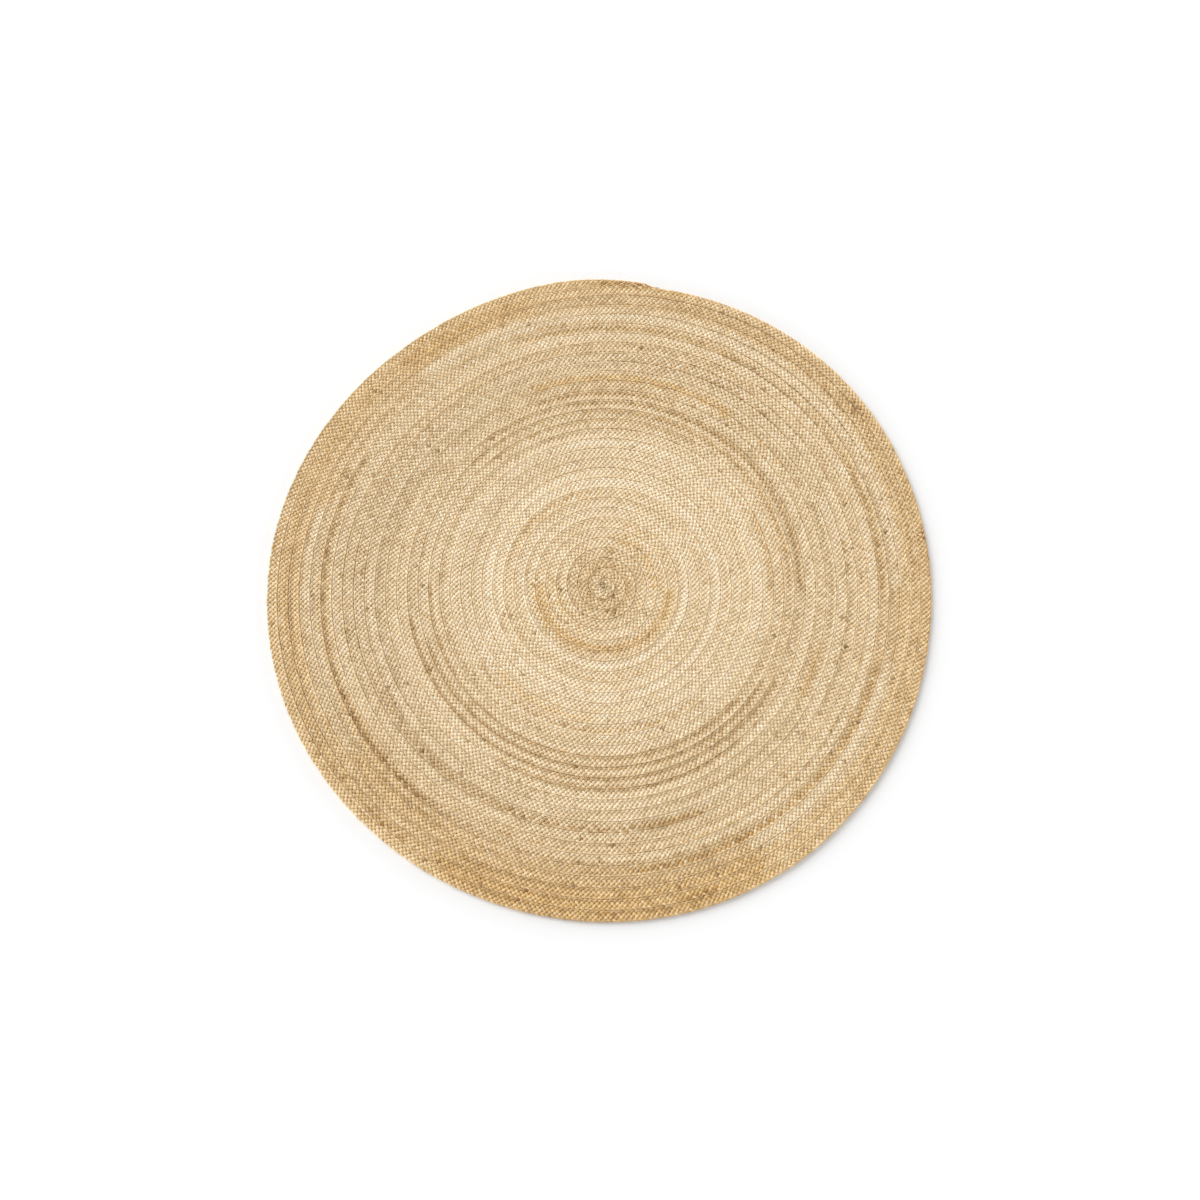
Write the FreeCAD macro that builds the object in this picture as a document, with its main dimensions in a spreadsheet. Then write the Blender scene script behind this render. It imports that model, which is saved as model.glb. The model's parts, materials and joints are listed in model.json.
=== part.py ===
import FreeCAD, Part
import math
import os

import Sketcher
from FreeCAD import Placement, Rotation, Vector

# A round rug of natural jute: a flat plait of five strands, wound clockwise from the middle
# outwards, each round beside the last, and sewn together with thread in the grooves between
# the rounds. Millimetres, +Z up. The rug lies on z = 0, the middle of its outline over the
# origin.
#
# The winding is a two-centre spiral: half rounds follow each other about two centres that
# stand half a pitch apart, and each has half a pitch more radius than the one before, so they
# join tangentially and every round keeps the same distance from the next.

SIZES = {
    "rounds": 31,  # turns of the plait from the middle to the rim
    "plait_width": 19.0,  # across the flat plait
    "row_gap": 0.17,  # air between neighbouring rounds
    "rug_thickness": 7.5,
    "eye_radius": 1.0,  # inner edge of the plait in the first half round
    "strand_gap": 0.08,  # air between the strands of a plait
    "edge_slope": 1.8,  # sloping corners along the plait's two edges
    "strand_slope": 0.5,  # sloping corners of a strand inside the plait
    "plait_lengths": 7,  # plaits joined end to end
    "splice_stagger": 45.0,  # from one strand's joint to the next one's
    "splice_gap": 0.2,  # air between two butted strand ends
    "tail_step": 25.0,  # at the rim a strand ends this far before the one inside it
    "tail_bearing": 81.0,  # degrees from +X to the outer end of the plait
    "thread_width": 0.8,
    "thread_gap": 0.07,  # air between the thread and the plaits beside it
    "bobbin_runs": 2,  # lengths of thread on the underside
}
STRANDS = {"a": -2, "b": -1, "c": 0, "d": 1, "e": 2}  # lanes, from the inner edge outwards

doc = FreeCAD.newDocument("plaited_jute_rug")
sheet = doc.addObject("Spreadsheet::Sheet", "Sizes")
for row, (alias, value) in enumerate(SIZES.items(), start=1):
    sheet.set(f"A{row}", alias)
    sheet.set(f"B{row}", str(value))
    sheet.setAlias(f"B{row}", alias)
doc.recompute()


def size(alias):
    return float(getattr(sheet, alias))


PITCH = "(Sizes.plait_width + Sizes.row_gap)"
START_RADIUS = "(Sizes.plait_width / 2 + Sizes.eye_radius)"
STRAND_STEP = f"((Sizes.plait_width + Sizes.strand_gap) / {len(STRANDS)})"
# The thread rests between the sloping edges of two rounds, its middle this far inside the
# rug's faces.
THREAD_DEPTH = (
    "(Sizes.edge_slope + Sizes.row_gap / 2 - Sizes.thread_gap - Sizes.thread_width)"
)

pitch = size("plait_width") + size("row_gap")
start_radius = size("plait_width") / 2 + size("eye_radius")
strand_step = (size("plait_width") + size("strand_gap")) / len(STRANDS)
thickness = size("rug_thickness")
half_rounds = 2 * round(size("rounds"))
groove_depth = size("edge_slope") + size("row_gap") / 2
thread_depth = groove_depth - size("thread_gap") - size("thread_width")


# The spiral's route, measured along the middle of the plait. The half round before the first
# is too tight for the whole plait: only the strands on its outer side turn through it.

LEAD_IN = -1


def half_radius(index):
    """Radius of the plait's middle line in one half round."""
    return start_radius + index * pitch / 2


def half_centre(index):
    """Even half rounds turn about the origin, odd ones about a point half a pitch away."""
    return 0.0 if index % 2 == 0 else pitch / 2


def half_start(index):
    """Length of the middle line before one half round."""
    return math.pi * sum(half_radius(earlier) for earlier in range(LEAD_IN, index))


def arcs_between(start, end):
    """The stretches of the half rounds between two lengths along the middle line.

    Each is (half round, angle turned at its start, angle turned at its end), in radians.
    """
    found = []
    for index in range(LEAD_IN, half_rounds):
        before = half_start(index)
        first = max((start - before) / half_radius(index), 0.0)
        last = min((end - before) / half_radius(index), math.pi)
        if last - first > 1e-9:
            found.append((index, first, last))
    return found


def bearing(index, turned):
    """Direction of a point of the route from its centre. The winding is clockwise."""
    return -turned if index % 2 == 0 else math.pi - turned


# Sketches: the route that a strand or thread follows, and the section drawn at its start


def planes_of(body):
    return {feature.Role: feature for feature in body.Origin.OriginFeatures}


def bind(sketch, constraint, formula):
    sketch.setExpression(f"Constraints[{sketch.addConstraint(constraint)}]", formula)


def route_sketch(body, arcs, offset, offset_formula, height):
    """Tangent arcs, offset outwards from the plait's middle line.

    Each arc starts where the last one ended, so the first radius settles all of them.
    """
    sketch = body.newObject("Sketcher::SketchObject", body.Name + "_route")
    sketch.AttachmentSupport = [(planes_of(body)["XY_Plane"], "")]
    sketch.MapMode = "FlatFace"
    sketch.AttachmentOffset = Placement(Vector(0, 0, height), Rotation())
    circles = []
    fixed = []
    odd_arc = None
    for number, (index, first, last) in enumerate(arcs):
        centre = Vector(half_centre(index), 0, 0)
        circle = Part.Circle(centre, Vector(0, 0, 1), half_radius(index) + offset)
        circles.append(Part.ArcOfCircle(circle, bearing(index, last), bearing(index, first)))
        if index % 2 == 0:
            fixed.append(Sketcher.Constraint("Coincident", number, 3, -1, 1))
        elif odd_arc is None:
            odd_arc = number
            fixed.append(Sketcher.Constraint("PointOnObject", number, 3, -1))
        else:
            fixed.append(Sketcher.Constraint("Coincident", number, 3, odd_arc, 3))
        if number > 0:
            fixed.append(Sketcher.Constraint("Coincident", number, 2, number - 1, 1))
        if last == math.pi:
            fixed.append(Sketcher.Constraint("PointOnObject", number, 1, -1))
    sketch.addGeometry(circles, False)
    sketch.addConstraint(fixed)
    if odd_arc is not None:
        away = Sketcher.Constraint("DistanceX", -1, 1, odd_arc, 3, pitch / 2)
        bind(sketch, away, PITCH + " / 2")
    first_index = arcs[0][0]
    bind(
        sketch,
        Sketcher.Constraint("Radius", 0, half_radius(first_index) + offset),
        f"{START_RADIUS} + {first_index / 2} * {PITCH} + {offset_formula}",
    )
    return sketch


def section_sketch(body, arcs, offset, height):
    """An empty sketch across the route's start: its X points outwards and its Y up."""
    index, first, _ = arcs[0]
    radius = half_radius(index) + offset
    turned = bearing(index, first)
    start_x = half_centre(index) + radius * math.cos(turned)
    start_y = radius * math.sin(turned)
    sketch = body.newObject("Sketcher::SketchObject", body.Name + "_section")
    sketch.AttachmentSupport = [(planes_of(body)["XZ_Plane"], "")]
    sketch.MapMode = "FlatFace"
    # In the plane's own axes its normal is -Y.
    sketch.AttachmentOffset = Placement(
        Vector(start_x, height, -start_y), Rotation(Vector(0, 1, 0), math.degrees(turned))
    )
    return sketch


def draw_outline(sketch, corners):
    """Straight lines through the corners, in order and back to the first."""
    points = [Vector(x, y, 0) for x, y in corners]
    lines = [Part.LineSegment(a, b) for a, b in zip(points, points[1:] + points[:1])]
    sketch.addGeometry(lines, False)
    count = len(lines)
    joined = [Sketcher.Constraint("Coincident", n, 2, (n + 1) % count, 1) for n in range(count)]
    sketch.addConstraint(joined)


def draw_strand(sketch, inner_slope, outer_slope):
    """An upright block standing on z = 0, with sloping corners along both long sides."""
    half = (strand_step - size("strand_gap")) / 2
    inner = size(inner_slope)
    outer = size(outer_slope)
    corners = [
        (-half + inner, 0),
        (half - outer, 0),
        (half, outer),
        (half, thickness - outer),
        (half - outer, thickness),
        (-half + inner, thickness),
        (-half, thickness - inner),
        (-half, inner),
    ]
    draw_outline(sketch, corners)
    bottom, right, top, left = 0, 2, 4, 6
    level = [Sketcher.Constraint("Horizontal", line) for line in (bottom, top)]
    upright = [Sketcher.Constraint("Vertical", line) for line in (right, left)]
    on_floor = Sketcher.Constraint("PointOnObject", bottom, 1, -1)
    sketch.addConstraint(level + upright + [on_floor])
    # A slope's run and rise are both its size. Going round, the outline rises along its outer
    # slopes, and runs outwards along its lower ones.
    for line, slope in ((1, outer_slope), (3, outer_slope), (5, inner_slope), (7, inner_slope)):
        run = (line, 1, line, 2) if line in (1, 7) else (line, 2, line, 1)
        rise = (line, 1, line, 2) if line in (1, 3) else (line, 2, line, 1)
        bind(sketch, Sketcher.Constraint("DistanceX", *run, size(slope)), f"Sizes.{slope}")
        bind(sketch, Sketcher.Constraint("DistanceY", *rise, size(slope)), f"Sizes.{slope}")
    width = f"({STRAND_STEP} - Sizes.strand_gap)"
    bind(sketch, Sketcher.Constraint("DistanceX", left, 1, -1, 1, half), width + " / 2")
    bind(sketch, Sketcher.Constraint("DistanceX", -1, 1, right, 1, half), width + " / 2")
    height = Sketcher.Constraint("DistanceY", bottom, 1, top, 1, thickness)
    bind(sketch, height, "Sizes.rug_thickness")


def draw_thread(sketch):
    """A square about the sketch's origin."""
    half = size("thread_width") / 2
    draw_outline(sketch, [(-half, -half), (half, -half), (half, half), (-half, half)])
    level = [Sketcher.Constraint("Horizontal", line) for line in (0, 2)]
    upright = [Sketcher.Constraint("Vertical", line) for line in (1, 3)]
    sketch.addConstraint(level + upright)
    bind(sketch, Sketcher.Constraint("DistanceX", -1, 1, 1, 1, half), "Sizes.thread_width / 2")
    bind(sketch, Sketcher.Constraint("DistanceX", 3, 1, -1, 1, half), "Sizes.thread_width / 2")
    bind(sketch, Sketcher.Constraint("DistanceY", -1, 1, 2, 1, half), "Sizes.thread_width / 2")
    bind(sketch, Sketcher.Constraint("DistanceY", 0, 1, -1, 1, half), "Sizes.thread_width / 2")


# Sub-parts


def swept_body(name, start, end, offset, offset_formula, height):
    """A body with its two sketches, for a sweep between two lengths of the route."""
    body = doc.addObject("PartDesign::Body", name)
    body.Label = name
    arcs = arcs_between(start, end)
    route = route_sketch(body, arcs, offset, offset_formula, height)
    section = section_sketch(body, arcs, offset, height)
    return body, route, section


def sweep(body, route, section):
    pipe = body.newObject("PartDesign::AdditivePipe", body.Name + "_sweep")
    pipe.Profile = section
    pipe.Spine = (route, [])
    pipe.Mode = "Standard"
    return body


def strand(name, lane, start, end):
    outermost = max(STRANDS.values())
    formula = f"{lane} * {STRAND_STEP}"
    body, route, section = swept_body(name, start, end, lane * strand_step, formula, 0.0)
    inner_slope = "edge_slope" if lane == -outermost else "strand_slope"
    outer_slope = "edge_slope" if lane == outermost else "strand_slope"
    draw_strand(section, inner_slope, outer_slope)
    return sweep(body, route, section)


def thread(name, start, end, height, height_formula):
    body, route, section = swept_body(name, start, end, pitch / 2, PITCH + " / 2", height)
    route.setExpression(".AttachmentOffset.Base.z", height_formula)
    section.setExpression(".AttachmentOffset.Base.y", height_formula)
    draw_thread(section)
    return sweep(body, route, section)


def plait_strands():
    """Each length of plait has its strands, whose ends are staggered where lengths meet."""
    total = half_start(half_rounds)
    lengths = round(size("plait_lengths"))
    made = []
    for number in range(1, lengths + 1):
        for letter, lane in STRANDS.items():
            shift = lane * size("splice_stagger")
            start = total * (number - 1) / lengths + shift + size("splice_gap")
            end = total * number / lengths + shift
            if number == 1:
                start = half_start(LEAD_IN) if lane > 0 else half_start(0) + size("splice_gap")
            if number == lengths:
                end = total - (lane + max(STRANDS.values())) * size("tail_step")
            made.append(strand(f"plait_{number}_strand_{letter}", lane, start, end))
    return made


def seam_threads():
    """A groove lies outside every half round but the last two, above and below."""
    first = half_start(0)
    last = half_start(half_rounds - 2)
    face_height = thickness - thread_depth
    face_formula = f"Sizes.rug_thickness - {THREAD_DEPTH}"
    made = [thread("needle_thread", first, last, face_height, face_formula)]
    runs = round(size("bobbin_runs"))
    for number in range(1, runs + 1):
        start = first + (last - first) * (number - 1) / runs
        end = first + (last - first) * number / runs - size("splice_gap")
        name = f"bobbin_thread_{number}"
        made.append(thread(name, start, end, thread_depth, THREAD_DEPTH))
    return made


parts = plait_strands() + seam_threads()
doc.recompute()

# The outer end is turned to its bearing, and the middle of the outline goes to the origin.

turn = Rotation(Vector(0, 0, 1), size("tail_bearing"))
outline = FreeCAD.BoundBox()
for part in parts:
    part.Placement = Placement(Vector(0, 0, 0), turn)
    if part.Label.startswith(f"plait_{round(size('plait_lengths'))}_"):
        outline.add(part.Shape.optimalBoundingBox(False, False))
middle = Vector(outline.Center.x, outline.Center.y, 0)
for part in parts:
    part.Placement = Placement(-middle, turn)
doc.recompute()

# Every object must have been made, and every sub-part must be one valid solid.

for item in doc.Objects:
    if "Invalid" in item.State or "Error" in item.State:
        raise RuntimeError(f"{item.Label} failed: {item.State}")
for part in parts:
    shape = part.Shape
    if shape.isNull() or not shape.isValid() or len(shape.Solids) != 1:
        raise RuntimeError(f"{part.Label} is not one valid solid")

os.makedirs("parts", exist_ok=True)
for part in parts:
    part.Shape.exportStep(f"parts/{part.Label}.step")
print(f"{len(parts)} parts, {half_start(half_rounds) / 1000:.2f} m of plait")
print(f"outline {outline.XLength:.2f} x {outline.YLength:.2f} x {outline.ZLength:.2f} mm")
print(f"middle of the outline was at {middle.x:.3f}, {middle.y:.3f}")
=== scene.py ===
import json
import math

import bmesh
import bpy
import numpy as np
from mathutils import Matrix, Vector


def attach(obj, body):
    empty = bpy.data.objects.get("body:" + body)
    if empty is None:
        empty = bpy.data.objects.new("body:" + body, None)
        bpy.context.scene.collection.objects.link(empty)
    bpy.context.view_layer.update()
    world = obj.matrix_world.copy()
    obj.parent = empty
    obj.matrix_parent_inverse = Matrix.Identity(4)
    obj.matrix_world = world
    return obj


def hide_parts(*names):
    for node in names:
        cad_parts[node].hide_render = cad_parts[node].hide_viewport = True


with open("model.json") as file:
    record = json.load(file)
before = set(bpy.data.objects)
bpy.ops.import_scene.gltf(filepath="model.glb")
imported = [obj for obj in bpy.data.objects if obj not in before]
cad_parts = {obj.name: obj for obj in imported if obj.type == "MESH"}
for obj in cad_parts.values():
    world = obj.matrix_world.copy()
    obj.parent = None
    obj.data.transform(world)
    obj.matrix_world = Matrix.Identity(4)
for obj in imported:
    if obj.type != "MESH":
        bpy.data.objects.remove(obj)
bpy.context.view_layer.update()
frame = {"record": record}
bpy.context.scene.view_settings.view_transform = "Standard"


# the coil: the line that the plait follows
coil = {
    "rounds": 31,
    "plaitWidth": 0.019,
    "rowGap": 0.00017,
    "eyeRadius": 0.001,
    "outerEnd": 81,  # degrees from +X
    "startCurl": 0.03,  # plait curled up inside the first round
    "lobes": [  # how many round the rim, how far they stand out, where one points
        (2, 0.005, 40),
        (3, 0.006, 60),
    ],
}
pitch = coil["plaitWidth"] + coil["rowGap"]
startRadius = coil["plaitWidth"] / 2 + coil["eyeRadius"]
rimRadius = startRadius + coil["rounds"] * pitch
# the underside mount lies on the middle strand, straight to the right of the coil's centre
coilCentre = Vector(frame["record"]["mounts"][0]["pos_m"]) - Vector((startRadius, 0, 0))
halfRounds = range(-1, 2 * coil["rounds"])


def halfRadius(index):
    return startRadius + index * pitch / 2


def halfTurned(index, turned):
    # clockwise, and every other half round turns about a point half a pitch away
    return math.radians(coil["outerEnd"]) - turned + (math.pi if index % 2 else 0)


def onHalfRound(index, turned, radius):
    outer = math.radians(coil["outerEnd"])
    aside = pitch / 2 if index % 2 else 0
    angle = halfTurned(index, turned)
    x = coilCentre.x + aside * math.cos(outer) + radius * math.cos(angle)
    y = coilCentre.y + aside * math.sin(outer) + radius * math.sin(angle)
    return Vector((x, y, 0))


def settle(point):
    # nobody coils a plait to a true circle, so the rim swells and dips a little
    away = point - coilCentre
    angle = math.degrees(math.atan2(away.y, away.x))
    swell = 0
    for count, size, points in coil["lobes"]:
        swell += size * math.cos(math.radians(count * (angle - points)))
    share = (away.length / rimRadius) ** 2
    return coilCentre + away * (1 + swell * share / rimRadius)


halfStarts = np.cumsum([0] + [math.pi * halfRadius(index) for index in halfRounds])
curlLength = halfStarts[1]
plaitLength = halfStarts[-1] - curlLength


def makeRoute(height):
    bpy.ops.curve.primitive_bezier_curve_add()
    route = bpy.context.object
    route.name = "route"
    route.data.dimensions = "3D"
    route.data.twist_mode = "Z_UP"
    route.data.resolution_u = 40
    spline = route.data.splines[0]
    step = math.pi / 4
    reach = 4 / 3 * math.tan(step / 4)
    stops = [(index, quarter) for index in halfRounds for quarter in range(4)]
    spline.bezier_points.add(len(stops) + 1 - len(spline.bezier_points))
    up = Vector((0, 0, height))
    for number, (index, quarter) in enumerate(stops):
        radius = halfRadius(index)
        for end in (0, 1):
            point = spline.bezier_points[number + end]
            turned = (quarter + end) * step
            place = onHalfRound(index, turned, radius)
            angle = halfTurned(index, turned)
            onward = Vector((math.sin(angle), -math.cos(angle), 0)) * reach * radius
            point.handle_left_type = point.handle_right_type = "FREE"
            point.co = settle(place) + up
            if end == 0:
                point.handle_right = settle(place + onward) + up
            else:
                point.handle_left = settle(place - onward) + up
    first = spline.bezier_points[0]
    last = spline.bezier_points[-1]
    first.handle_left = first.co * 2 - first.handle_right
    last.handle_right = last.co * 2 - last.handle_left
    return route


bpy.ops.object.select_all(action="DESELECT")
route = makeRoute(0.00375)
print("route", round(plaitLength, 2), "m")


def placeOf(length):
    # where a length along the plait lies: how many rounds out, and at which bearing
    measured = np.clip(length + curlLength, 0, halfStarts[-1] - 1e-6)
    half = np.searchsorted(halfStarts, measured, side="right") - 1
    radius = startRadius + (half - 1) * pitch / 2
    turned = (measured - halfStarts[half]) / radius
    bearing = coil["outerEnd"] - np.degrees(turned) + np.where(half % 2 == 0, 180, 0)
    rounds = (half - 1 + turned / math.pi) / 2
    return rounds, bearing % 360


def softNoise(seed, along, step):
    values = np.random.default_rng(seed).uniform(-1, 1, int(along.max() / step) + 4)
    place = np.clip(along / step, 0, len(values) - 2)
    low = place.astype(int)
    blend = place - low
    blend = blend * blend * (3 - 2 * blend)
    return values[low] * (1 - blend) + values[low + 1] * blend


# one repeat of a strand: across the plait and back, over one and under one
strandShape = {
    "repeats": 191,  # in one length of plait
    "sides": 6,
    "rings": 20,  # in a repeat
    "width": 0.0063,
    "thickness": 0.0041,
    "sway": [0, 0.00235, 0.0049, 0.007, 0.008, 0.0082],  # from the middle out to the plait's edge
    "lift": 0.0017,
    "edgeSqueeze": 0.45,  # strands are narrower where they turn at the plait's edge
    "edgeRise": 0.5,  # and lie this share of the lift above the middle
    "startsAt": -18,  # degrees of the to and fro, where a strand lies underneath
}
lengths = 7
repeat = plaitLength / lengths / strandShape["repeats"]


def strandSway(phase):
    across = math.degrees(math.asin(math.sin(math.radians(phase)))) / 90
    stops = strandShape["sway"]
    return math.copysign(np.interp(abs(across) * (len(stops) - 1), range(len(stops)), stops), across)


def strandHeading(phase):
    step = 360 / strandShape["rings"]
    across = strandSway(phase + step) - strandSway(phase - step)
    return math.atan(across / (2 * repeat / strandShape["rings"]))


def strandLift(phase):
    # over, under, over, under, then round the plait's edge
    since = (phase + 54) % 180
    if since < 108:
        height = math.cos(math.pi * since / 36)
    elif since < 144:
        rise = strandShape["edgeRise"]
        height = -1 + (1 + rise) * math.sin(math.pi / 2 * (since - 108) / 36)
    else:
        rise = strandShape["edgeRise"]
        height = rise + (1 - rise) * math.sin(math.pi / 2 * (since - 144) / 36)
    return strandShape["lift"] * height


def edgeWidth(phase):
    return 1 - strandShape["edgeSqueeze"] * math.sin(math.radians(phase)) ** 6


def selectPoints(meshObject, numbers):
    mesh = bmesh.from_edit_mesh(meshObject.data)
    mesh.select_mode = {"VERT"}
    for vertex in mesh.verts:
        vertex.select = vertex.index in numbers
    mesh.select_flush(True)
    bmesh.update_edit_mesh(meshObject.data)


def unwrapRings(mesh, ringOf, rings):
    # u runs along the piece and v round it, with the seam underneath
    grain = mesh.loops.layers.uv.new("grain")
    for face in mesh.faces:
        around = [math.atan2(loop.vert.co.y, loop.vert.co.z) / math.tau + 0.5 for loop in face.loops]
        seam = max(around) - min(around) > 0.5
        for loop, turn in zip(face.loops, around):
            onward = 1 if seam and turn < 0.5 else 0
            loop[grain].uv = (ringOf[loop.vert.index] / rings, turn + onward)


def makeStrandRepeat():
    rings = strandShape["rings"]
    bpy.ops.mesh.primitive_cylinder_add(
        vertices=strandShape["sides"],
        radius=0.5,
        depth=repeat,
        end_fill_type="NOTHING",
        calc_uvs=False,
        location=(repeat / 2, 0, 0),
        rotation=(0, math.pi / 2, 0),
    )
    strand = bpy.context.object
    strand.name = "strandRepeat"
    bpy.ops.object.transform_apply(location=True, rotation=True, scale=True)
    bpy.ops.object.mode_set(mode="EDIT")
    mesh = bmesh.from_edit_mesh(strand.data)
    mesh.select_mode = {"EDGE"}
    for edge in mesh.edges:
        edge.select = bool(abs(edge.verts[0].co.x - edge.verts[1].co.x) > repeat / 2)
    bmesh.update_edit_mesh(strand.data)
    bpy.ops.mesh.subdivide_edgering(number_cuts=rings - 1, interpolation="LINEAR")
    bpy.ops.mesh.select_all(action="SELECT")
    # a hexagon with its flat side up, thinner than wide
    flat = math.cos(math.pi / 6)
    section = (1, strandShape["width"], strandShape["thickness"] / flat)
    bpy.ops.transform.resize(value=section, center_override=(0, 0, 0))
    mesh = bmesh.from_edit_mesh(strand.data)
    ringOf = {vertex.index: round(vertex.co.x / repeat * rings) for vertex in mesh.verts}
    unwrapRings(mesh, ringOf, rings)
    bmesh.update_edit_mesh(strand.data)
    for ring in range(rings + 1):
        phase = strandShape["startsAt"] + 360 * ring / rings
        middle = (repeat * ring / rings, 0, 0)
        selectPoints(strand, {index for index in ringOf if ringOf[index] == ring})
        bpy.ops.transform.resize(value=(1, edgeWidth(phase), 1), center_override=middle)
        bpy.ops.transform.rotate(value=-strandHeading(phase), orient_axis="Z", center_override=middle)
        bpy.ops.transform.translate(value=(0, strandSway(phase), strandLift(phase)))
    bpy.ops.object.mode_set(mode="OBJECT")
    return strand


strandRepeat = makeStrandRepeat()
print("strand repeat", len(strandRepeat.data.polygons), "faces")


# tones of the jute, from strand to strand and from place to place
juteTones = {
    "plain": 0.51,
    "changes": [  # a seed, how many metres long, and how strong
        (4, 0.40, 0.035),
        (6, 0.12, 0.03),
        (5, 0.009, 0.13),
    ],
    "streaks": (0.4, 0.10),  # runs along the plait, each a knuckle wide
    "specks": (0.006, 0.3),  # share of knuckles that are dark, and how dark
    "seam": 0.24,  # the plait's edges are darker: dust, and painted shade of the grooves between rounds
    "grooveDustAndShadeWidth": 0.0028,
    "fromMiddle": [0, 0.1, 0.22, 0.35, 0.5, 0.7, 0.8, 0.9, 1],  # share of the radius
    "paleness": [-0.02, 0.01, 0.06, 0.10, 0.03, -0.02, 0.0, -0.05, -0.06],
    "goldness": [0.10, 0.10, 0.05, 0.0, 0.05, 0.05, 0.05, 0.35, 0.45],
}


patchStrength = 0.85
# patches that stand out: how many half rounds from the middle, from and to which bearing,
# how many half rounds wide, how much darker, how much more golden, and in which strands
patches = [
    (60, 240, 300, 3.0, 0.08, 0.30, "abcde"),
    (54, 205, 300, 3.5, 0.07, 0.10, "abcde"),
    (60, 105, 132, 2.0, 0.05, 0.30, "abcde"),
    (60.5, 33, 39, 0.8, 0.30, 0.2, "ace"),
    (62.5, 81, 92, 0.9, 0.26, 0.4, "ace"),
    (61.5, 74, 81, 0.6, 0.10, 0.5, "bd"),
    (61, 226, 230, 0.8, 0.30, 0.2, "bd"),
    (60.5, 284, 290, 0.8, 0.32, 0.2, "ace"),
    (56, 0, 130, 1.2, -0.09, -0.5, "abcde"),
    (56, 165, 215, 1.2, -0.09, -0.5, "abcde"),
    (56, 300, 345, 1.2, -0.09, -0.5, "abcde"),
    (53, 0, 30, 0.5, 0.18, 0.2, "abce"),
    (53, 60, 110, 0.5, 0.17, 0.2, "abce"),
    (53, 150, 200, 0.5, 0.18, 0.2, "abce"),
    (53, 200, 232, 0.55, 0.24, 0.3, "ace"),
    (51, 248, 252, 0.8, 0.32, 0.2, "ad"),
    (54, 275, 345, 0.5, 0.19, 0.2, "abce"),
    (51.5, 0, 360, 0.5, -0.08, 0.0, "abcde"),
    (46.5, 0, 12, 0.8, 0.18, 0.2, "ac"),
    (46.5, 48, 90, 0.8, 0.18, 0.2, "be"),
    (46.5, 120, 180, 0.8, 0.17, 0.1, "ad"),
    (46.5, 203, 245, 0.8, 0.18, 0.2, "ce"),
    (46.5, 245, 295, 0.8, 0.22, 0.3, "bd"),
    (46.5, 280, 292, 0.8, 0.20, 0.2, "ace"),
    (46.5, 332, 360, 0.8, 0.18, 0.2, "ae"),
    (45, 0, 360, 2.2, 0.02, -0.2, "abcde"),
    (42.5, 55, 110, 0.7, 0.06, 0.5, "abcde"),
    (42.5, 330, 345, 0.7, 0.06, 0.5, "abcde"),
    (41.7, 30, 60, 0.6, 0.16, 0.2, "bd"),
    (39.5, 70, 110, 0.45, 0.18, 0.1, "abcde"),
    (37.5, 0, 130, 0.45, 0.17, 0.1, "abcde"),
    (35.7, 0, 140, 0.45, 0.17, 0.1, "abcde"),
    (33.6, 60, 135, 0.45, 0.17, 0.1, "abcde"),
    (32, 0, 30, 0.45, 0.18, 0.1, "abcde"),
    (39, 240, 310, 0.45, 0.18, 0.1, "abcde"),
    (37.2, 190, 330, 0.45, 0.17, 0.1, "abcde"),
    (35.2, 200, 330, 0.45, 0.16, 0.1, "abcde"),
    (33.3, 180, 320, 0.45, 0.15, 0.1, "abcde"),
    (28.3, 215, 310, 0.7, 0.17, 0.2, "bcd"),
    (30.2, 200, 260, 0.6, 0.22, 0.1, "a"),
    (26.3, 220, 265, 0.7, 0.05, 0.5, "abcde"),
    (29.2, 0, 360, 0.5, -0.08, 0.0, "abcde"),
    (21, 200, 228, 0.6, 0.22, 0.1, "d"),
    (19, 100, 145, 0.7, 0.14, 0.2, "bc"),
    (16.3, 0, 180, 0.5, -0.08, -0.2, "abcde"),
    (15.8, 180, 360, 0.5, -0.13, -0.3, "abcde"),
    (12.8, 180, 360, 0.8, 0.10, 0.5, "abcde"),
    (14, 180, 250, 0.5, 0.14, 0.3, "bce"),
    (11.5, 190, 215, 0.6, 0.22, 0.1, "b"),
    (11.5, 345, 360, 0.6, 0.22, 0.1, "e"),
    (10, 0, 80, 1.1, 0.10, 0.4, "ace"),
    (10, 170, 250, 1.1, 0.11, 0.4, "bd"),
    (6.5, 76, 84, 0.9, 0.30, 0.1, "ac"),
    (7.5, 230, 240, 0.9, 0.28, 0.1, "be"),
    (6, 274, 300, 0.9, 0.24, 0.1, "ad"),
    (7, 316, 324, 0.9, 0.26, 0.1, "c"),
    (4, 0, 360, 1.5, 0.05, 0.2, "abcde"),
]


def addPatches(length, across, letter, tone, gold):
    rounds, bearing = placeOf(length)
    halfRoundsOut = 2 * (rounds + (across + startRadius) / pitch)
    for out, start, end, width, darker, golden, letters in patches:
        if letter in letters:
            near = patchStrength * np.clip(1.5 - np.abs(halfRoundsOut - out) / width, 0, 1)
            inside = np.clip(np.minimum(bearing - start, end - bearing) / 4 + 0.5, 0, 1)
            if end - start == 360:
                inside = 1
            tone = tone - darker * near * inside
            gold = gold + (golden + darker) * near * inside
    return tone, gold


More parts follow.
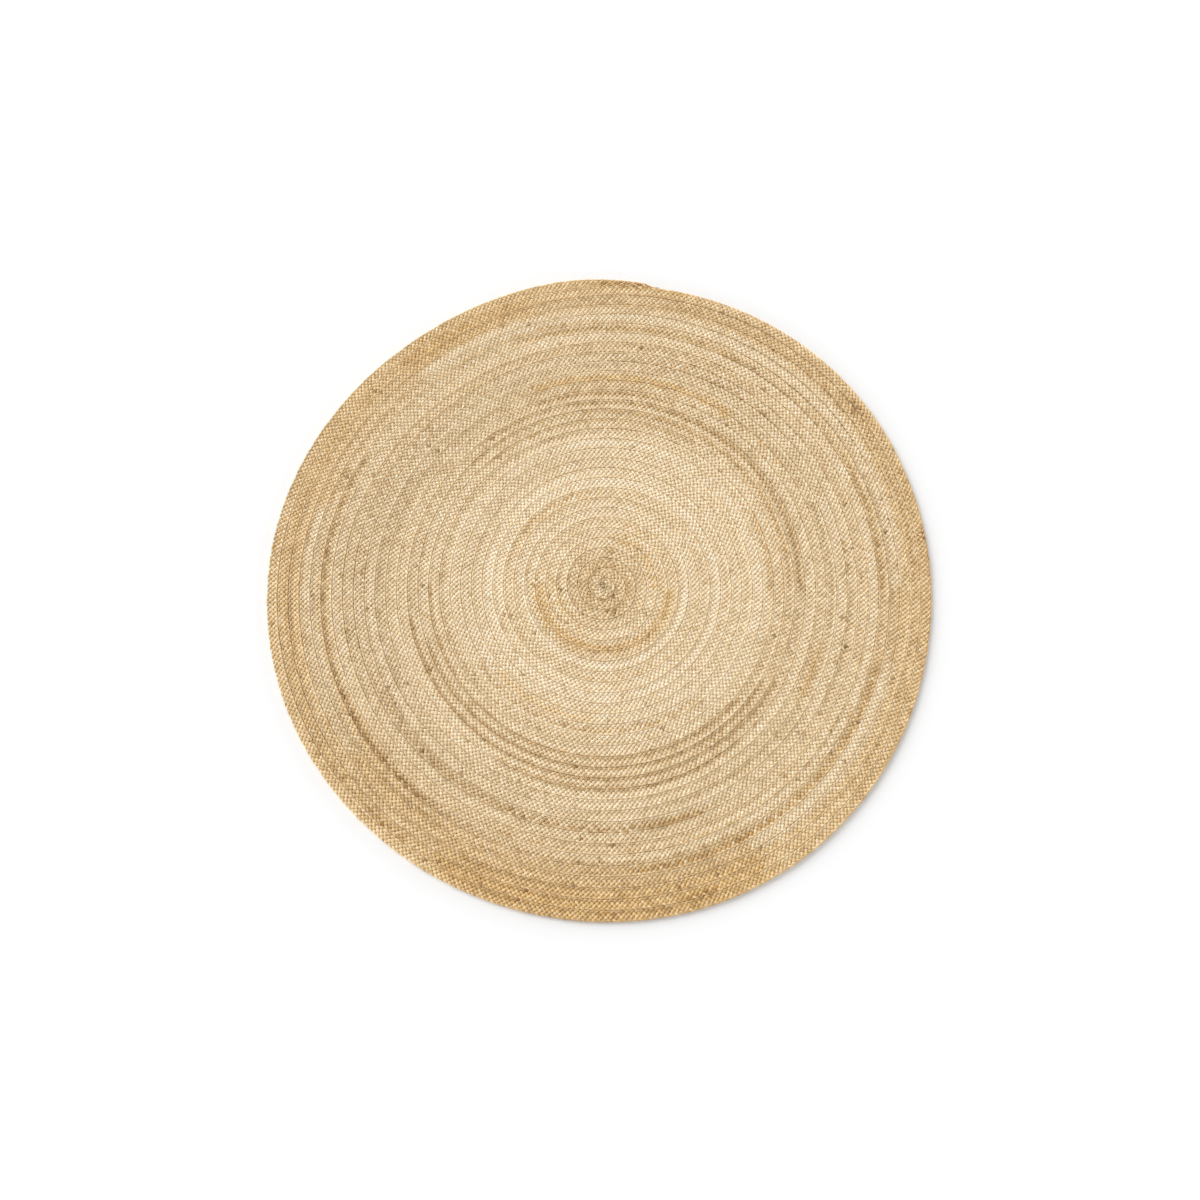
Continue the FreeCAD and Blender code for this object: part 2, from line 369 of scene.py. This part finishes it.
def tonesAlong(length, across, letter, seed):
    rounds = placeOf(length)[0]
    fromMiddle = np.clip(rounds / coil["rounds"], 0, 1)
    tone = juteTones["plain"] + np.interp(fromMiddle, juteTones["fromMiddle"], juteTones["paleness"])
    for draw, step, strength in juteTones["changes"]:
        tone = tone + strength * softNoise([seed, draw], length - length.min(), step)
    share, depth = juteTones["specks"]
    cells = ((length - length.min()) / repeat * 5).astype(int)
    dark = np.random.default_rng([seed, 6]).random(cells.max() + 1) < share
    tone = tone - depth * dark[cells]
    step, strength = juteTones["streaks"]
    column = (across / pitch + 0.5) * 4 - 0.5  # four columns of knuckles in a round
    for number in range(4):
        near = np.clip(1 - np.abs(column - number), 0, 1)
        tone = tone + strength * near * softNoise([number, 77], length + 0.1, step)
    fromEdge = pitch / 2 - np.abs(across)
    # painted groove shade and dust along the plait's edges, coming and going
    grooveDustAndShadeDepth = juteTones["seam"] * (0.55 + 0.45 * softNoise([5, 78], length + 0.1, 0.3))
    tone = tone - grooveDustAndShadeDepth * np.clip(1 - fromEdge / juteTones["grooveDustAndShadeWidth"], 0, 1)
    gold = np.interp(fromMiddle, juteTones["fromMiddle"], juteTones["goldness"])
    gold = gold + 0.25 * softNoise([seed, 1], length - length.min(), 0.5)
    tone, gold = addPatches(length, across, letter, tone, gold)
    return np.clip(tone, 0, 1), np.clip(gold, 0, 1)


# the strands, five to each length of plait
plaits = {
    "letters": "abcde",
    "tailTaper": 0.2,  # the outer end gets narrower over this length
    "tailLeft": 0.3,  # share of its width that is left
    "tailCurve": 1.5,
    "tailSink": 0.4,
    "eyeReach": 0.2,  # the first round's inner edge is drawn in to close the eye
    "eyeLength": 0.08,
    "curlSqueeze": 0.3,
    "unevenSway": 0.0003,
    "unevenLift": 0.00015,
    "bakeRepeats": 8,  # repeats of a strand side by side across its picture
}


def shapeStraight(co, seed):
    x, y, z = co.T
    along = x - x.min()
    y = y + plaits["unevenSway"] * softNoise([seed, 11], along, 0.03)
    z = z + plaits["unevenLift"] * softNoise([seed, 12], along, 0.02)
    half = coil["plaitWidth"] / 2
    # the outer end narrows towards the round inside it, and the inner end curls up outwards
    ending = np.clip((x - plaitLength) / plaits["tailTaper"] + 1, 0, 1) ** plaits["tailCurve"]
    y = (y + half) * (1 - (1 - plaits["tailLeft"]) * ending) - half
    z = z * (1 - plaits["tailSink"] * ending)
    drawnIn = plaits["eyeReach"] * np.clip(1 - x / plaits["eyeLength"], 0, 1)
    y = np.where(y < 0, y * (1 + drawnIn), y)
    starting = np.clip(-x / coil["startCurl"] * 2, 0, 1)
    y = half - (half - y) * (1 - plaits["curlSqueeze"] * starting)
    x = np.where(x < 0, x * curlLength / coil["startCurl"], x) + curlLength
    return np.stack([x, y, z], axis=1)


pictureEnds = {
    "margin": 0.03,  # share of a strip left empty on each side
    "first": 0.91,  # where the first cut end lies along the strip
    "apart": 0.055,
    "radius": 0.022,
    "tallness": 0.35,
}


def layPictureStrips(mesh, facesInRepeat, repeats, repeatsInStrip):
    # the piece's picture is cut into strips that lie one above the other
    faces = len(mesh.polygons)
    uv = np.zeros(len(mesh.loops) * 2)
    mesh.uv_layers["grain"].data.foreach_get("uv", uv)
    uv = uv.reshape(-1, 2)
    totals = np.zeros(faces, int)
    mesh.polygons.foreach_get("loop_total", totals)
    copies = np.repeat(np.arange(faces) // facesInRepeat, totals)
    long = copies < repeats
    uv[long, 0] += copies[long]
    uv[long, 1] -= uv[long, 1].min()
    uv[long, 1] /= uv[long, 1].max()
    strips = math.ceil(repeats / repeatsInStrip)
    strip = np.minimum(copies, repeats - 1) // repeatsInStrip
    across = (uv[:, 0] - strip * repeatsInStrip) / repeatsInStrip
    upward = (strip + pictureEnds["margin"] + (1 - 2 * pictureEnds["margin"]) * uv[:, 1]) / strips
    first = int(long.sum())
    # the two cut ends go in the empty end of the last strip
    ends = totals[facesInRepeat * repeats :]
    for number, corners in enumerate(ends):
        middle = pictureEnds["first"] + pictureEnds["apart"] * number
        for corner in range(corners):
            turn = math.tau * corner / corners
            across[first] = middle + pictureEnds["radius"] * math.cos(turn)
            upward[first] = (strips - 0.5 + pictureEnds["tallness"] * math.sin(turn)) / strips
            uv[first] = (0.5 + 0.4 * math.cos(turn), 0.5 + 0.4 * math.sin(turn))
            first += 1
    mesh.uv_layers["grain"].data.foreach_set("uv", uv.ravel())
    bake = mesh.uv_layers.new(name="OFBake")
    bake.data.foreach_set("uv", np.stack([across, upward], axis=1).ravel())


def addTone(mesh, name, values):
    layer = mesh.attributes.new(name, "FLOAT", "POINT")
    layer.data.foreach_set("value", values.astype(np.float32))


def followRoute(piece):
    bend = piece.modifiers.new("bend", "CURVE")
    bend.object = route
    bend.deform_axis = "POS_X"
    bpy.ops.object.modifier_apply(modifier="bend")


def activate(piece):
    bpy.ops.object.select_all(action="DESELECT")
    piece.select_set(True)
    bpy.context.view_layer.objects.active = piece


def makeRow(repeatObject, name, count, step):
    piece = repeatObject.copy()
    piece.data = repeatObject.data.copy()
    piece.name = name
    bpy.context.collection.objects.link(piece)
    activate(piece)
    row = piece.modifiers.new("row", "ARRAY")
    row.count = count
    row.use_relative_offset = False
    row.use_constant_offset = True
    row.constant_offset_displace = (step, 0, 0)
    row.use_merge_vertices = True
    row.merge_threshold = 0.00001
    bpy.ops.object.modifier_apply(modifier="row")
    bpy.ops.object.mode_set(mode="EDIT")
    bpy.ops.mesh.select_all(action="SELECT")
    bpy.ops.mesh.fill_holes(sides=strandShape["sides"])
    bpy.ops.object.mode_set(mode="OBJECT")
    return piece


def makeStrand(number, place, material):
    name = f"jute_strand_{number}{plaits['letters'][place]}"
    strand = makeRow(strandRepeat, name, strandShape["repeats"], repeat)
    mesh = strand.data
    layPictureStrips(mesh, len(strandRepeat.data.polygons), strandShape["repeats"], plaits["bakeRepeats"])
    seed = number * 10 + place
    co = np.zeros(len(mesh.vertices) * 3)
    mesh.vertices.foreach_get("co", co)
    co = co.reshape(-1, 3)
    co[:, 0] += (number - 1) * plaitLength / lengths + place * repeat / 5 - coil["startCurl"]
    length = co[:, 0].copy()
    tone, gold = tonesAlong(length, co[:, 1], plaits["letters"][place], seed)
    addTone(mesh, "tone", tone)
    addTone(mesh, "gold", gold)
    mesh.vertices.foreach_set("co", shapeStraight(co, seed).ravel())
    followRoute(strand)
    bpy.ops.object.shade_smooth()
    mesh.materials.clear()
    mesh.materials.append(material)
    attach(strand, "root")
    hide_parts(f"plait_{number}_strand_{plaits['letters'][place]}")


def addNode(tree, kind, x, y, **values):
    node = tree.nodes.new(kind)
    node.location = (x, y)
    for name, value in values.items():
        setattr(node, name, value)
    return node


def makeJute():
    finish = bpy.data.materials.new("jute")
    finish.use_nodes = True
    tree = finish.node_tree
    shader = tree.nodes["Principled BSDF"]
    shader.inputs["Roughness"].default_value = 0.85
    shader.inputs["Sheen Weight"].default_value = 0.15
    shader.inputs["Sheen Roughness"].default_value = 0.5
    link = tree.links.new
    tone = addNode(tree, "ShaderNodeAttribute", -1200, 200, attribute_name="tone")
    gold = addNode(tree, "ShaderNodeAttribute", -1200, -100, attribute_name="gold")
    grain = addNode(tree, "ShaderNodeUVMap", -1600, -400, uv_map="grain")
    stretch = addNode(tree, "ShaderNodeMapping", -1400, -400)
    stretch.inputs["Scale"].default_value = (2.2, 18, 1)
    fibres = addNode(tree, "ShaderNodeTexNoise", -1200, -400)
    fibres.inputs["Scale"].default_value = 1
    fibres.inputs["Detail"].default_value = 3
    fibres.inputs["Roughness"].default_value = 0.65
    link(grain.outputs["UV"], stretch.inputs["Vector"])
    link(stretch.outputs["Vector"], fibres.inputs["Vector"])
    spread = addNode(tree, "ShaderNodeMapRange", -1000, -400)
    spread.inputs["From Min"].default_value = 0.3
    spread.inputs["From Max"].default_value = 0.7
    spread.inputs["To Min"].default_value = -0.2
    spread.inputs["To Max"].default_value = 0.2
    link(fibres.outputs["Fac"], spread.inputs["Value"])
    mixed = addNode(tree, "ShaderNodeMath", -800, 0, operation="ADD")
    link(tone.outputs["Fac"], mixed.inputs[0])
    link(spread.outputs["Result"], mixed.inputs[1])
    ramp = addNode(tree, "ShaderNodeValToRGB", -600, 0)
    stops = [
        (0.0, (0.24, 0.13, 0.05)),
        (0.22, (0.50, 0.335, 0.16)),
        (0.45, (0.73, 0.56, 0.335)),
        (0.62, (0.86, 0.70, 0.478)),
        (1.0, (0.97, 0.865, 0.69)),
    ]
    while len(ramp.color_ramp.elements) < len(stops):
        ramp.color_ramp.elements.new(0.5)
    for element, (position, colour) in zip(ramp.color_ramp.elements, stops):
        element.position = position
        element.color = (*colour, 1)
    link(mixed.outputs["Value"], ramp.inputs["Fac"])
    golden = addNode(tree, "ShaderNodeMix", -300, 0, data_type="RGBA", blend_type="MULTIPLY")
    golden.inputs["B"].default_value = (1.0, 0.86, 0.58, 1)
    link(gold.outputs["Fac"], golden.inputs["Factor"])
    link(ramp.outputs["Color"], golden.inputs["A"])
    link(golden.outputs["Result"], shader.inputs["Base Color"])
    bump = addNode(tree, "ShaderNodeBump", -300, -400)
    bump.inputs["Strength"].default_value = 0.5
    bump.inputs["Distance"].default_value = 0.0006
    link(fibres.outputs["Fac"], bump.inputs["Height"])
    link(bump.outputs["Normal"], shader.inputs["Normal"])
    return finish


def makeTwine():
    finish = bpy.data.materials.new("twine")
    finish.use_nodes = True
    tree = finish.node_tree
    shader = tree.nodes["Principled BSDF"]
    shader.inputs["Roughness"].default_value = 0.8
    link = tree.links.new
    tone = addNode(tree, "ShaderNodeAttribute", -900, 200, attribute_name="tone")
    grain = addNode(tree, "ShaderNodeUVMap", -1300, -200, uv_map="grain")
    lay = addNode(tree, "ShaderNodeMapping", -1100, -200)
    lay.inputs["Scale"].default_value = (12, 1, 1)
    link(grain.outputs["UV"], lay.inputs["Vector"])
    plies = addNode(tree, "ShaderNodeTexWave", -900, -200, wave_type="BANDS", bands_direction="DIAGONAL")
    plies.inputs["Scale"].default_value = 1
    plies.inputs["Distortion"].default_value = 0.6
    link(lay.outputs["Vector"], plies.inputs["Vector"])
    ramp = addNode(tree, "ShaderNodeValToRGB", -600, 0)
    ramp.color_ramp.elements[0].color = (0.50, 0.34, 0.17, 1)
    ramp.color_ramp.elements[1].color = (0.86, 0.69, 0.46, 1)
    mixed = addNode(tree, "ShaderNodeMath", -750, 0, operation="MULTIPLY_ADD")
    mixed.inputs[1].default_value = 0.3
    link(plies.outputs["Fac"], mixed.inputs[0])
    link(tone.outputs["Fac"], mixed.inputs[2])
    link(mixed.outputs["Value"], ramp.inputs["Fac"])
    link(ramp.outputs["Color"], shader.inputs["Base Color"])
    bump = addNode(tree, "ShaderNodeBump", -300, -300)
    bump.inputs["Strength"].default_value = 0.4
    bump.inputs["Distance"].default_value = 0.0002
    link(plies.outputs["Fac"], bump.inputs["Height"])
    link(bump.outputs["Normal"], shader.inputs["Normal"])
    return finish


jute = makeJute()
for number in range(1, lengths + 1):
    for place in range(len(plaits["letters"])):
        makeStrand(number, place, jute)
    print("plait", number, "laid")
bpy.data.objects.remove(strandRepeat)


# the sewing: a thread that goes to and fro over each groove, above and below
sewing = {
    "width": 0.0009,
    "sides": 4,
    "length": 0.0176,  # of one to and fro
    "stops": [  # along, across the groove and up from the rug's middle
        (0, -0.0030, 0.0024),
        (0.0014, -0.0021, 0.0033),
        (0.0074, 0.0021, 0.0033),
        (0.0088, 0.0030, 0.0024),
        (0.0102, 0.0021, 0.0033),
        (0.0162, -0.0021, 0.0033),
        (0.0176, -0.0030, 0.0024),
    ],
    "bakeRepeats": 52,
}


def makeStitch():
    stops = sewing["stops"]
    bpy.ops.mesh.primitive_cylinder_add(
        vertices=sewing["sides"],
        radius=sewing["width"] / 2,
        depth=sewing["length"],
        end_fill_type="NOTHING",
        calc_uvs=False,
        location=(sewing["length"] / 2, 0, 0),
        rotation=(0, math.pi / 2, 0),
    )
    stitch = bpy.context.object
    stitch.name = "stitchRepeat"
    bpy.ops.object.transform_apply(location=True, rotation=True, scale=True)
    bpy.ops.object.mode_set(mode="EDIT")
    mesh = bmesh.from_edit_mesh(stitch.data)
    mesh.select_mode = {"EDGE"}
    for edge in mesh.edges:
        edge.select = abs(edge.verts[0].co.x - edge.verts[1].co.x) > sewing["length"] / 2
    bmesh.update_edit_mesh(stitch.data)
    bpy.ops.mesh.subdivide_edgering(number_cuts=len(stops) - 2, interpolation="LINEAR")
    step = sewing["length"] / (len(stops) - 1)
    mesh = bmesh.from_edit_mesh(stitch.data)
    ringOf = {vertex.index: round(vertex.co.x / step) for vertex in mesh.verts}
    unwrapRings(mesh, ringOf, len(stops) - 1)
    bmesh.update_edit_mesh(stitch.data)
    for ring, (along, across, height) in enumerate(stops):
        selectPoints(stitch, {index for index in ringOf if ringOf[index] == ring})
        bpy.ops.transform.translate(value=(along - ring * step, across, height))
    bpy.ops.object.mode_set(mode="OBJECT")
    return stitch


def makeSeam(name, node, share, side, material):
    # a groove lies outside every half round but the last two
    first, last = (fraction * (halfStarts[-3] - curlLength) + curlLength for fraction in share)
    count = int((last - first) / sewing["length"])
    seam = makeRow(stitchRepeat, name, count, sewing["length"])
    mesh = seam.data
    layPictureStrips(mesh, len(stitchRepeat.data.polygons), count, sewing["bakeRepeats"])
    co = np.zeros(len(mesh.vertices) * 3)
    mesh.vertices.foreach_get("co", co)
    co = co.reshape(-1, 3)
    tone = 0.5 + 0.12 * softNoise([sum(name.encode()), 3], co[:, 0], 0.08)
    addTone(mesh, "tone", tone)
    co += (first, pitch / 2, 0)
    co[:, 2] *= side
    mesh.vertices.foreach_set("co", co.ravel())
    if side < 0:
        mesh.flip_normals()
    followRoute(seam)
    bpy.ops.object.shade_smooth()
    mesh.materials.clear()
    mesh.materials.append(material)
    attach(seam, "root")
    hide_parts(node)


stitchRepeat = makeStitch()
twine = makeTwine()
makeSeam("face_seam", "needle_thread", (0, 1), 1, twine)
makeSeam("under_seam_1", "bobbin_thread_1", (0, 0.5), -1, twine)
makeSeam("under_seam_2", "bobbin_thread_2", (0.5, 1), -1, twine)
bpy.data.objects.remove(stitchRepeat)
print("rounds sewn together")


# floor, light and camera
studio = {
    "tilt": 15.5,  # degrees from straight down
    "distance": 3.165,
    "lens": 52.4,
    "aim": (-0.0029, -0.0293, 0),
    "floor": 0.9,
    "ceiling": 0.52,
    "screens": 4.8,  # pale screens stand round the floor
    "screenHeight": 0.4,
    "window": (-0.2, 0.15, 0),
    "sun": 2.3,
    "sunFrom": (-1.1, 0.8, 0.85),
    "softness": 40,
}
bpy.ops.mesh.primitive_plane_add(size=12, location=(0, 0, -0.0002))
floor = bpy.context.object
floor.name = "floor"
bpy.ops.object.transform_apply(location=True, rotation=True, scale=True)
paper = bpy.data.materials.new("pale_floor")
paper.use_nodes = True
paper.node_tree.nodes["Principled BSDF"].inputs["Base Color"].default_value = (studio["floor"],) * 3 + (1,)
paper.node_tree.nodes["Principled BSDF"].inputs["Roughness"].default_value = 0.95
floor.data.materials.append(paper)

world = bpy.data.worlds.new("studio")
bpy.context.scene.world = world
world.use_nodes = True
sky = world.node_tree
background = sky.nodes["Background"]
background.inputs["Color"].default_value = (1, 1, 1, 1)
around = addNode(sky, "ShaderNodeTexCoord", -1200, 0)
height = addNode(sky, "ShaderNodeSeparateXYZ", -1000, 200)
sky.links.new(around.outputs["Generated"], height.inputs["Vector"])
falloff = addNode(sky, "ShaderNodeMapRange", -800, 200)
falloff.inputs["From Min"].default_value = 0
falloff.inputs["From Max"].default_value = studio["screenHeight"]
falloff.inputs["To Min"].default_value = studio["screens"]
falloff.inputs["To Max"].default_value = studio["ceiling"]
sky.links.new(height.outputs["Z"], falloff.inputs["Value"])
facing = addNode(sky, "ShaderNodeVectorMath", -1000, -200, operation="DOT_PRODUCT")
facing.inputs[1].default_value = studio["window"]
sky.links.new(around.outputs["Generated"], facing.inputs[0])
lean = addNode(sky, "ShaderNodeMath", -800, -200, operation="ADD")
lean.inputs[1].default_value = 1
sky.links.new(facing.outputs["Value"], lean.inputs[0])
strength = addNode(sky, "ShaderNodeMath", -600, 0, operation="MULTIPLY")
sky.links.new(falloff.outputs["Result"], strength.inputs[0])
sky.links.new(lean.outputs["Value"], strength.inputs[1])
sky.links.new(strength.outputs["Value"], background.inputs["Strength"])

bpy.ops.object.light_add(type="SUN", location=studio["sunFrom"])
lamp = bpy.context.object
lamp.name = "softbox"
lamp.data.energy = studio["sun"]
lamp.data.angle = math.radians(studio["softness"])
lamp.rotation_euler = lamp.location.to_track_quat("Z", "Y").to_euler()

tilt = math.radians(studio["tilt"])
reach = studio["distance"]
bpy.ops.object.camera_add(location=(0, -reach * math.sin(tilt), reach * math.cos(tilt)))
camera = bpy.context.object
camera.data.lens = studio["lens"]
camera.data.sensor_width = 36
camera.rotation_euler = (Vector(studio["aim"]) - camera.location).to_track_quat("-Z", "Y").to_euler()
bpy.context.scene.camera = camera

bpy.data.objects.remove(route)
